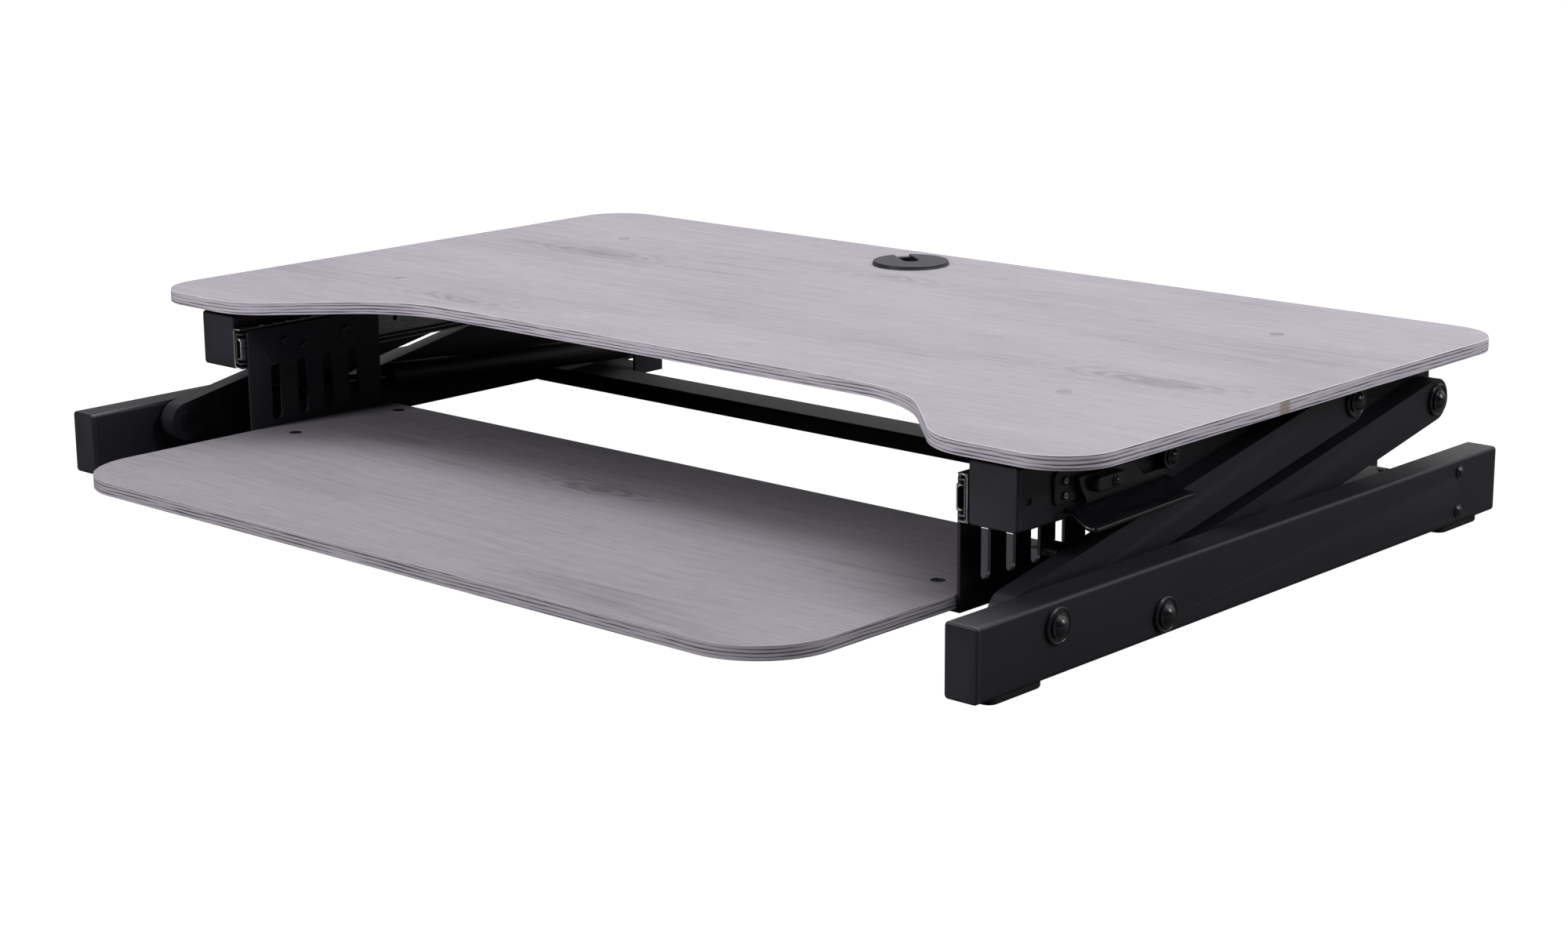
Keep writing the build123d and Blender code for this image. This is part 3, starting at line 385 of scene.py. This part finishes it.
def tube(bm, path, radius, steps=12):
    """Round bar along a list of points, with rounded ends."""
    points = [Vector(point) for point in path]
    last = len(points) - 1
    rings = []
    side = None
    for index, point in enumerate(points):
        along = (points[min(index + 1, last)] - points[max(index - 1, 0)]).normalized()
        if side is None:
            side = along.orthogonal().normalized()
        side = (side - along * side.dot(along)).normalized()
        other = along.cross(side)
        ring = []
        for step in range(steps):
            angle = 2.0 * math.pi * step / steps
            ring.append(bm.verts.new(point + radius * (math.cos(angle) * side + math.sin(angle) * other)))
        rings.append(ring)
    for ring, following in zip(rings, rings[1:]):
        for step in range(steps):
            after = (step + 1) % steps
            bm.faces.new([ring[step], ring[after], following[after], following[step]])
    for ring, centre, back in ((rings[0], points[0], points[0] - points[1]),
                               (rings[-1], points[-1], points[-1] - points[-2])):
        tip = bm.verts.new(centre + 0.6 * radius * back.normalized())
        for step in range(steps):
            bm.faces.new([ring[step], ring[(step + 1) % steps], tip])


def ring_profile(radius, thickness, height):
    """Closed half-round rim that stands on a flat face."""
    points = []
    for index in range(9):
        angle = math.pi * index / 8
        points.append((radius + thickness * math.cos(angle), height * math.sin(angle)))
    return points + [points[0]]


def outward(x, y, z, sign):
    """Places local Z along X, pointing away from the middle of the desk, in millimetres."""
    return Matrix.Translation(Vector((sign * x, y, z)) * MM) @ Matrix.Rotation(sign * math.pi / 2, 4, "Y")


def upward(x, y, z):
    return Matrix.Translation(Vector((x, y, z)) * MM)


def millimetres(profile):
    return [(radius * MM, height * MM) for radius, height in profile]


SIDES = (("right", 1), ("left", -1))
DESK_TOP = 143.9
ARM_REST = math.radians(10.8)
ARM_L = 400.0
LOWER_PIVOTS = ((-196.5, 38.7), (-79.0, 19.7))
UPPER_PIVOTS = tuple((y + ARM_L * math.cos(ARM_REST), z + ARM_L * math.sin(ARM_REST)) for y, z in LOWER_PIVOTS)
RAIL_OUT = 467.5
WASHER_T = 1.8
ARM_OUT = 439.3


def desktop_plugs():
    """Small cover caps over the four places where the desktop is screwed to the straps."""
    bm = bmesh.new()
    cap = millimetres([(6.4, 0.0), (6.4, 0.25), (6.0, 0.5), (3.0, 0.62), (0.0, 0.66)])
    for x in (-346.0, 346.0):
        for y in (-29.0, 237.0):
            lathe(bm, cap, upward(x, y, DESK_TOP))
    new_piece("desktop_plugs", bm, "tray_laminate", "top_frame")


def washer_rims():
    """Raised rims of the pressed washers under the pivot bolts."""
    rim = millimetres(ring_profile(11.4, 0.9, 0.8))
    bm = bmesh.new()
    for _, sign in SIDES:
        for y, z in LOWER_PIVOTS:
            lathe(bm, rim, outward(RAIL_OUT + WASHER_T, y, z, sign))
    new_piece("base_washer_rims", bm, "black_fasteners", "base")
    bm = bmesh.new()
    for _, sign in SIDES:
        for y, z in UPPER_PIVOTS:
            lathe(bm, rim, outward(ARM_OUT + WASHER_T, y, z, sign))
    new_piece("top_washer_rims", bm, "black_fasteners", "top_frame")


def rivet_eyelets():
    """Bright flared eyelets round the rivets of the handle plates, in bright metal that is partly bare steel and
    partly a painted highlight.
    """
    bm = bmesh.new()
    eyelet = millimetres(ring_profile(1.6, 0.4, 0.5))
    for _, sign in SIDES:
        for z in (103.0, 113.0):
            lathe(bm, eyelet, outward(424.6, -131.5, z, sign), 24)
    new_piece("rivet_eyelets", bm, "zinc_plate", "top_frame", CUT_EDGE_AND_HIGHLIGHT)


def lever_edge(sign):
    """Middle line of the lever's rolled edge: the S at the front, then back along the lip."""
    rise = math.tan(math.radians(1.6))
    points = []
    for index in range(25):
        x = 425.6 + (450.0 - 425.6) * index / 24
        share = min(max((x - 429.0) / 18.0, 0.0), 1.0)
        z = 86.8 + 8.8 * (1.0 + math.cos(math.pi * share)) / 2.0
        points.append((x, -134.0, z - 1.7))
    for index in range(1, 6):
        angle = math.pi / 2 * index / 5
        points.append((450.0 + 1.2 * math.sin(angle), -134.0 + 1.2 * (1.0 - math.cos(angle)), 85.1))
    for index in range(1, 13):
        y = -132.8 + (132.8 - 25.6) * index / 12
        points.append((451.2, y, 85.1 + rise * (y + 134.0)))
    return [(sign * x * MM, y * MM, z * MM) for x, y, z in points]


def lever_beads():
    """Rolled edge round the front and the outer lip of each release lever."""
    for side, sign in SIDES:
        bm = bmesh.new()
        tube(bm, lever_edge(sign), 1.95 * MM)
        new_piece("lever_bead_" + side, bm, "handle_plastic", "lever_" + side[0])


def slide_dimples():
    """Retainer lugs pressed up along the top edge of each slide, in bright metal that is partly bare steel and partly
    a painted highlight.
    """
    bm = bmesh.new()
    lug = millimetres([(2.1, 0.0), (2.0, 0.7), (1.2, 1.2), (0.0, 1.4)])
    for _, sign in SIDES:
        for y in (-155.2, -141.8, -129.5, -113.8, -102.6):
            lathe(bm, lug, upward(sign * 373.5, y, 119.2), 20)
    new_piece("slide_lugs", bm, "zinc_plate", "top_frame", CUT_EDGE_AND_HIGHLIGHT)


WEB_OUTSIDE = {"slide_outer": True, "slide_inner": False}


def channel_end(node, sign):
    """Path round the front end of a slide channel, from lip to web to lip, and back along the corners."""
    lowest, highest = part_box(node)
    web = highest[0] if WEB_OUTSIDE[node.rsplit("_", 1)[0]] == (sign > 0) else lowest[0]
    lip = lowest[0] if web == highest[0] else highest[0]
    inset = 0.6 * MM
    corner = 2.0 * MM
    toward = 1.0 if lip > web else -1.0
    web_x = web + toward * inset
    y = lowest[1]
    bottom = lowest[2] + inset
    top = highest[2] - inset
    outline = [(lip - toward * inset, top), (web_x + toward * corner, top), (web_x, top - corner),
               (web_x, bottom + corner), (web_x + toward * corner, bottom), (lip - toward * inset, bottom)]
    return [(x, y, z) for x, z in outline]


def slide_cut_edge_highlights():
    """Bright sheared front ends of the slide members: a thin bright rod round each end, partly bare steel and partly a
    painted highlight.
    """
    for side, sign in SIDES:
        for member, body in (("outer", "top_frame"), ("inner", "tray")):
            bm = bmesh.new()
            tube(bm, channel_end("slide_" + member + "_" + side, sign), 0.55 * MM, 8)
            new_piece("slide_cut_edge_" + member + "_" + side, bm, "zinc_plate", body, CUT_EDGE_AND_HIGHLIGHT)


dress_nodes()
desktop_plugs()
washer_rims()
rivet_eyelets()
lever_beads()
slide_dimples()
slide_cut_edge_highlights()


# ---------- studio ----------
def floor():
    """White sweep to the camera; other surfaces see it as dark, as with a flag under the desk."""
    bm = bmesh.new()
    bmesh.ops.create_grid(bm, x_segments=1, y_segments=1, size=30.0)
    mesh = bpy.data.meshes.new("studio_floor")
    bm.to_mesh(mesh)
    bm.free()
    obj = bpy.data.objects.new("studio_floor", mesh)
    obj.location = (0.0, 0.0, -0.5 * MM)
    COLLECTION.objects.link(obj)
    material = bpy.data.materials.new("studio_floor")
    material.use_nodes = True
    tree = material.node_tree
    shader = tree.nodes["Principled BSDF"]
    shader.inputs["Roughness"].default_value = 0.9
    shader.inputs["Base Color"].default_value = (0.10, 0.10, 0.10, 1.0)
    glow = tree.nodes.new("ShaderNodeLightPath")
    shader.inputs["Emission Color"].default_value = (1.0, 1.0, 1.0, 1.0)
    strength = tree.nodes.new("ShaderNodeMath")
    strength.operation = "MULTIPLY"
    strength.inputs[1].default_value = 1.0
    tree.links.new(glow.outputs["Is Camera Ray"], strength.inputs[0])
    tree.links.new(strength.outputs["Value"], shader.inputs["Emission Strength"])
    mesh.materials.append(material)


def area_light(name, place, target, size, power):
    light = bpy.data.lights.new(name, "AREA")
    light.shape = "RECTANGLE"
    light.size, light.size_y = size
    light.energy = power
    obj = bpy.data.objects.new(name, light)
    obj.location = place
    obj.rotation_euler = (Vector(target) - Vector(place)).to_track_quat("-Z", "Y").to_euler()
    COLLECTION.objects.link(obj)


def world(horizon, zenith):
    """White to the camera; as a light it is dim low down and towards the front, bright above and behind."""
    studio = bpy.data.worlds.new("studio")
    studio.use_nodes = True
    tree = studio.node_tree
    background = tree.nodes["Background"]
    direction = tree.nodes.new("ShaderNodeTexCoord")
    height = tree.nodes.new("ShaderNodeVectorMath")
    height.operation = "DOT_PRODUCT"
    height.inputs[1].default_value = (0.0, 0.5, 0.866)
    tree.links.new(direction.outputs["Generated"], height.inputs[0])
    level = tree.nodes.new("ShaderNodeMapRange")
    for socket, number in zip(list(level.inputs)[1:5], (0.35, 1.0, horizon, zenith)):
        socket.default_value = number
    tree.links.new(height.outputs["Value"], level.inputs["Value"])
    path = tree.nodes.new("ShaderNodeLightPath")
    seen = tree.nodes.new("ShaderNodeMix")
    tree.links.new(path.outputs["Is Camera Ray"], seen.inputs["Factor"])
    tree.links.new(level.outputs["Result"], seen.inputs["A"])
    seen.inputs["B"].default_value = 1.0
    tree.links.new(seen.outputs["Result"], background.inputs["Strength"])
    background.inputs["Color"].default_value = (1.0, 1.0, 1.0, 1.0)
    bpy.context.scene.world = studio


def camera():
    """The view of a product shot: from the front right, a little above, with a long lens."""
    data = bpy.data.cameras.new("camera")
    data.sensor_width = 36.0
    data.lens = 68.0
    data.clip_end = 100.0
    obj = bpy.data.objects.new("camera", data)
    obj.location = (1.5356, -1.6339, 0.5754)
    yaw, pitch, roll = (math.radians(angle) for angle in (42.089, -13.623, -0.351))
    turn = Matrix.Rotation(yaw, 4, "Z") @ Matrix.Rotation(math.pi / 2 + pitch, 4, "X")
    obj.rotation_euler = (turn @ Matrix.Rotation(roll, 4, "Z")).to_euler()
    COLLECTION.objects.link(obj)
    bpy.context.scene.camera = obj


floor()
world(0.02, 1.10)
area_light("overhead", (-0.2, 1.0, 2.3), (0.0, 0.0, 0.1), (2.0, 1.4), 36.0)
area_light("right", (2.6, 1.1, 1.5), (0.4, 0.0, 0.1), (0.6, 0.9), 18.0)
area_light("front", (-0.8, -2.6, 1.35), (0.1, -0.2, 0.1), (0.6, 0.4), 32.0)
camera()
bpy.context.scene.view_settings.view_transform = "Standard"
